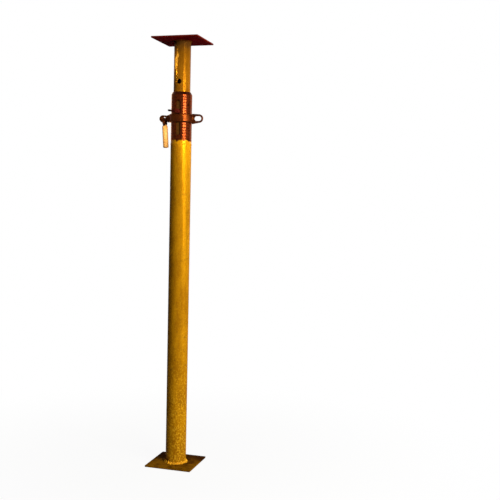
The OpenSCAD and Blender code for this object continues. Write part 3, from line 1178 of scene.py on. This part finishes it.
@dataclass
class UpperProp:
    """The inner tube under its head plate."""

    wall: float = 3.2 * MM
    row: float = 20 * MM
    hole: float = 14.5 * MM
    hole_pitch: float = 86 * MM
    hole_count: int = 9
    first_hole: float = 117 * MM
    weld_leg: float = 4 * MM
    run_from: float = 29 * MM
    run_to: float = 84 * MM
    body: str = "upper_prop"

    def inner_tube(self, cut: CutTree) -> bpy.types.Object:
        """The tube with its row of pin holes.

        Args:
            cut: The tree that cuts the holes.

        Returns:
            The tube.
        """
        high = crown("inner_tube")
        blank = tube_mesh("inner_tube_blank", "inner_tube", self.wall, self.row)
        sizes = {
            "Width": self.hole, "Length": self.hole, "Reach": 4 * high.x, "Count": self.hole_count,
            "Pitch": self.hole_pitch, "Top": high.z - self.first_hole,
        }
        return shaded(cut.run("inner_tube_drilled", sizes, blank))

    def head_weld(self, tree: WeldTree) -> bpy.types.Object:
        """The fillet weld under the head plate.

        Args:
            tree: The tree that lays beads.

        Returns:
            The bead.
        """
        sizes = {
            "Radius": crown("inner_tube").x, "Height": foot("head_plate").z, "Way": -1.0,
            "Reach": self.weld_leg, "Climb": self.weld_leg, "Span": TURN / 4, "Ripples": 26.0, "Ripple": 0.3,
            "Wander": 0.9, "Fullness": -0.1, "Seed": 5.0,
        }
        return shaded(tree.run("head_weld_bead", sizes), Crease.FORMED)

    def zinc_run(self, tree: RunTree) -> bpy.types.Object:
        """A run of zinc on the front left of the tube, below the head plate.

        Args:
            tree: The tree that hangs the run.

        Returns:
            The run.
        """
        high = crown("inner_tube")
        sizes = {
            "Radius": high.x, "Top": high.z - self.run_from, "Bottom": high.z - self.run_to,
            "Start Angle": math.radians(256), "End Angle": math.radians(240), "Width": 12 * MM,
            "Thickness": 1.8 * MM, "Belly": 0.42, "Seed": 4.0,
        }
        return shaded(tree.run("zinc_run", sizes), Crease.FORMED)

    def build(self, shop: Workshop) -> None:
        """Builds and dresses the pieces.

        Args:
            shop: The materials and trees to work with.
        """
        shop.dress(self.inner_tube(shop.cut), GOLD_INNER, self.body, "inner_tube")
        shop.dress(Plate("head_plate").shear("head_plate_sheared"), RED_PLATE_PAINTED_SHADE, self.body, "head_plate")
        shop.dress(self.head_weld(shop.weld), WELD_IN_PAINTED_SHADE, self.body, "head_weld")
        shop.dress(self.zinc_run(shop.run), RUN_ZINC_PAINTED_LIGHT, self.body)


@dataclass
class AdjustingNut:
    """The cast nut: collar, lug and eye in one piece, with its own thread."""

    voxel: float = 0.8 * MM
    smoothing: int = 4
    pitting: float = 0.22 * MM
    grain: float = 9 * MM
    clearance: float = 0.35 * MM
    inset: float = 1.5 * MM
    height: float = 24 * MM
    backing: float = 1.2 * MM
    mouth: float = 0.1 * MM
    body: str = "nut"

    def casting(self) -> bpy.types.Object:
        """The casting, with the soft edges and the uneven skin that a sand mould leaves.

        Returns:
            The casting.
        """
        piece = cad_copy("adjusting_nut_cast", "adjusting_nut")
        skin = piece.modifiers.new("skin", "REMESH")
        skin.mode = "VOXEL"
        skin.voxel_size = self.voxel
        soft = piece.modifiers.new("soft", "SMOOTH")
        soft.factor = 0.5
        soft.iterations = self.smoothing
        apply_modifiers(piece)
        falloff, spread, octaves = 0.8, 2.0, 3
        normals = [v.normal.copy() for v in piece.data.vertices]
        for vertex, normal in zip(piece.data.vertices, normals):
            swell = noise.fractal(vertex.co / self.grain, falloff, spread, octaves)
            vertex.co += normal * swell * self.pitting
        piece.data.update()
        return shaded(piece, Crease.CAST)

    def thread(self, tree: ThreadTree) -> bpy.types.Object:
        """The thread in the nut's bore, in step with the sleeve's.

        Args:
            tree: The tree that rolls the thread.

        Returns:
            The threaded ring.
        """
        centre = next(j for j in JOINTS if j["name"] == "nut_turn")["pos_m"][2]
        half = self.height / 2 - self.inset
        face = crown("threaded_sleeve").x + self.clearance
        sizes = {
            "Face Radius": face, "Back Radius": face + self.backing, "Bottom": centre - half,
            "Top": centre + half, "Pitch": PITCH, "Depth": THREAD_DEPTH, "Run-out": 0.0,
            "Taper": self.mouth, "Mouth Radius": face,
        }
        return shaded(tree.run("nut_thread", sizes), Crease.ROLLED)

    def build(self, shop: Workshop) -> None:
        """Builds and dresses the pieces.

        Args:
            shop: The materials and trees to work with.
        """
        shop.dress(self.casting(), RED_CAST, self.body, "adjusting_nut")
        shop.dress(self.thread(shop.thread), RED_CAST, self.body)


@dataclass
class DropHandle:
    """The round bar that hangs in the nut's lug by a ring."""

    flatness: float = 1.25
    body: str = "handle"

    def ring(self) -> bpy.types.Object:
        """The ring through the lug, forged a little wider than it is thick.

        Returns:
            The ring.
        """
        piece = cad_copy("handle_ring_forged", "handle_ring")
        shift = Matrix.Translation((middle("handle_ring").x, 0, 0))
        piece.data.transform(shift @ Matrix.Diagonal((self.flatness, 1, 1, 1)) @ shift.inverted())
        return shaded(piece, Crease.FORMED)

    def build(self, shop: Workshop) -> None:
        """Builds and dresses the pieces.

        Args:
            shop: The materials and trees to work with.
        """
        shop.dress(self.ring(), RED_CAST, self.body, "handle_ring")
        bar = shaded(cad_copy("handle_bar_turned", "handle_bar"), Crease.TURNED)
        shop.dress(bar, GOLD_HANDLE, self.body, "handle_bar")


@dataclass
class PropPin:
    """The pin through the slots and the inner tube, with its wire tail."""

    chamfer: float = 1.5 * MM
    edge: float = 0.8 * MM
    sides: int = 64
    body: str = "pin"

    def pin(self) -> bpy.types.Object:
        """The round pin, chamfered at its back end.

        Returns:
            The pin.
        """
        name, low, high = "prop_pin_turned", foot("prop_pin"), crown("prop_pin")
        radius, length = (high.z - low.z) / 2, high.y - low.y
        profile = [(0.0, 0.0), (radius - self.edge, 0.0), (radius - self.edge * ROLL, self.edge * ROLL)]
        profile += [(radius, self.edge), (radius, length / 2), (radius, length - self.chamfer)]
        profile += [(radius - self.chamfer, length), (0.0, length)]
        mesh = lathe(name, profile, self.sides)
        lie_down = Matrix.Rotation(-TURN / 4, 4, "X")
        mesh.transform(Matrix.Translation((0, low.y, middle("prop_pin").z)) @ lie_down)
        return shaded(in_scene(name, mesh), Crease.TURNED)

    def build(self, shop: Workshop) -> None:
        """Builds and dresses the pieces.

        Args:
            shop: The materials and trees to work with.
        """
        shop.dress(self.pin(), DARK_PIN, self.body, "prop_pin")
        tail = shaded(cad_copy("pin_tail_bent", "pin_tail"), Crease.FORMED)
        shop.dress(tail, DARK_PIN, self.body, "pin_tail")


# ---------------------------------------------------------------------------------------------- studio

WHITE = (1.0, 1.0, 1.0)
WARM_WHITE = (1.0, 0.95, 0.86)
SOFT_WHITE = (1.0, 0.95, 0.9)
TUNGSTEN = (1.0, 0.92, 0.8)


def on_stand(bearing: float, distance: float, height: float) -> Vector:
    """A place round the prop.

    Args:
        bearing: Degrees from -Y towards +X, as seen from the prop's axis.
        distance: Distance from the axis.
        height: Height over the floor.

    Returns:
        The place.
    """
    angle = math.radians(bearing)
    return Vector((distance * math.sin(angle), -distance * math.cos(angle), height))


@dataclass(frozen=True)
class Lamp:
    """A lamp on a stand, with its place round the prop, its power and its colour."""

    name: str
    bearing: float
    distance: float
    height: float
    watts: float
    colour: Colour

    def stand(self, kind: str, target: Vector) -> bpy.types.Light:
        """Puts the lamp in the scene, aimed at a point.

        Args:
            kind: Blender's name for the type of lamp.
            target: The point.

        Returns:
            The lamp's light.
        """
        light = bpy.data.lights.new(self.name, kind)
        light.energy = self.watts
        light.color = self.colour
        lamp = in_scene(self.name, light)
        lamp.location = on_stand(self.bearing, self.distance, self.height)
        lamp.rotation_euler = (target - lamp.location).to_track_quat("-Z", "Y").to_euler()
        return light


@dataclass(frozen=True)
class SoftBox(Lamp):
    """A soft rectangular lamp that looks at the prop's axis."""

    aim: float
    size: tuple[float, float]

    def place(self) -> None:
        """Puts the lamp in the scene."""
        light = self.stand("AREA", Vector((0, 0, self.aim)))
        light.shape = "RECTANGLE"
        light.size, light.size_y = self.size


@dataclass(frozen=True)
class Pencil(Lamp):
    """A narrow lamp on one small piece that the tubes would keep in shade."""

    target: Vector
    width: float
    radius: float = 0.03
    blend: float = 0.7

    def place(self) -> None:
        """Puts the lamp in the scene."""
        light = self.stand("SPOT", self.target)
        light.spot_size = math.radians(self.width)
        light.spot_blend = self.blend
        light.shadow_soft_size = self.radius


@dataclass(frozen=True)
class Viewpoint:
    """Where the camera stands, what it looks at and how far it is tipped."""

    bearing: float = 21.086
    distance: float = 2.3578
    height: float = 0.7852
    aim: tuple[float, float, float] = (0.1966, 0.0659, 0.6375)
    tip: float = 1.283
    lens: float = 57.843
    clip: tuple[float, float] = (0.05, 50.0)

    def place(self) -> None:
        """Makes the scene's camera."""
        camera = in_scene("camera", bpy.data.cameras.new("camera"))
        camera.data.lens = self.lens
        camera.data.clip_start, camera.data.clip_end = self.clip
        camera.location = on_stand(self.bearing, self.distance, self.height)
        view = (Vector(self.aim) - camera.location).to_track_quat("-Z", "Y")
        camera.rotation_mode = "QUATERNION"
        camera.rotation_quaternion = view @ Quaternion((0, 0, 1), math.radians(self.tip))
        bpy.context.scene.camera = camera


@dataclass
class Studio:
    """Pale floor, white surround, soft boxes, a few narrow lamps and the camera."""

    ambient: Colour = (0.014, 0.013, 0.012)
    floor_seen: Colour = (0.7, 0.7, 0.7)
    floor_bounce: Colour = (0.08, 0.078, 0.075)
    floor_half: float = 12.0
    shadow: Band = Band(0.1, 1.1, 0.07)
    run_bearing: float = -45.0
    run_share: float = 0.99
    run_drop: float = 62 * MM
    boxes: tuple[SoftBox, ...] = (
        SoftBox("strip", 66.0, 2.0, 1.0, 26.0, WARM_WHITE, aim=0.9, size=(0.4, 0.95)),
        SoftBox("high_strip", 48.0, 2.0, 1.2, 28.0, WARM_WHITE, aim=1.0, size=(0.45, 0.65)),
        SoftBox("key", 84.0, 2.0, 0.5, 11.0, WARM_WHITE, aim=0.5, size=(0.5, 1.0)),
        SoftBox("right_back", 145.0, 2.2, 1.0, 8.0, (1.0, 0.95, 0.88), aim=0.6, size=(0.5, 1.2)),
        SoftBox("left_back", 208.0, 2.4, 1.1, 18.0, SOFT_WHITE, aim=0.6, size=(1.2, 1.4)),
        SoftBox("left_fill", -80.0, 2.4, 0.9, 0.15, (1.0, 0.93, 0.88), aim=0.6, size=(1.0, 1.4)),
        SoftBox("overhead", 0.0, 0.3, 3.2, 5.0, SOFT_WHITE, aim=1.24, size=(1.0, 1.0)),
    )

    @staticmethod
    def _seen(tree: Tree) -> Wire:
        """1 for rays from the camera, off gloss or through glass, and 0 for the rays that light surfaces.

        Args:
            tree: The tree of the floor or the surround.

        Returns:
            The mask.
        """
        path = tree.node("ShaderNodeLightPath")
        seen = tree.wire(path, "Is Camera Ray").most(tree.wire(path, "Is Glossy Ray"))
        return seen.most(tree.wire(path, "Is Transmission Ray"))

    def world(self) -> None:
        """A white surround that lights the prop only a little."""
        world = bpy.data.worlds.new("surround")
        bpy.context.scene.world = world
        tree = shader_tree(world)
        colour = tree.lay(self._seen(tree), self.ambient, WHITE)
        sky = tree.out("Background", "ShaderNodeBackground", {"Color": colour, "Strength": 1.0})
        tree.node("ShaderNodeOutputWorld", {"Surface": sky})

    def floor(self) -> None:
        """A pale floor that keeps the prop's shadow near its foot and goes over into the white surround."""
        half = self.floor_half
        mesh = bpy.data.meshes.new("floor")
        corners = [(-half, -half, 0), (half, -half, 0), (half, half, 0), (-half, half, 0)]
        mesh.from_pydata(corners, [], [(0, 1, 2, 3)])
        floor = in_scene("floor", mesh)
        material = bpy.data.materials.new("floor")
        tree = shader_tree(material)
        far = self.shadow.of(tree.off_axis(tree.own_place()))
        colour = tree.lay(self._seen(tree), self.floor_bounce, self.floor_seen)
        sockets = {
            "Fac": self._seen(tree) * (1 - self.shadow.share + far),
            1: tree.out("BSDF", "ShaderNodeBsdfDiffuse", {"Color": colour}),
            2: tree.out("Emission", "ShaderNodeEmission", {"Color": WHITE, "Strength": 1.0}),
        }
        surface = tree.out("Shader", "ShaderNodeMixShader", sockets)
        tree.node("ShaderNodeOutputMaterial", {"Surface": surface})
        mesh.materials.append(material)

    def pencils(self) -> tuple[Pencil, ...]:
        """The narrow lamps on the handle, on the sleeve with its nut, and on the run of zinc.

        Returns:
            The lamps.
        """
        sleeve, tube = middle("threaded_sleeve"), crown("inner_tube")
        run = on_stand(self.run_bearing, tube.x * self.run_share, tube.z - self.run_drop)
        return (
            Pencil("handle_lamp", 8.0, 1.6, 1.05, 70.0, TUNGSTEN, middle("handle_bar"), 1.3),
            Pencil("sleeve_lamp_front", 43.0, 1.9, 1.22, 110.0, TUNGSTEN, sleeve, 8.0, radius=0.08),
            Pencil("sleeve_lamp_side", 60.0, 1.9, 1.22, 120.0, TUNGSTEN, sleeve, 8.0, radius=0.08),
            Pencil("run_lamp", -60.0, 1.6, 1.45, 80.0, TUNGSTEN, run, 3.4),
        )

    def build(self) -> None:
        """Sets up the whole studio."""
        bpy.context.scene.view_settings.view_transform = "Standard"
        self.world()
        self.floor()
        for lamp in self.boxes + self.pencils():
            lamp.place()
        Viewpoint().place()


def main() -> None:
    """Builds and dresses every sub-assembly in order, then the studio."""
    logging.basicConfig(level=logging.INFO, format="%(message)s")
    shop = Workshop()
    for assembly in (LowerProp(), UpperProp(), AdjustingNut(), DropHandle(), PropPin()):
        assembly.build(shop)
    Studio().build()


if __name__ == "__main__":
    main()
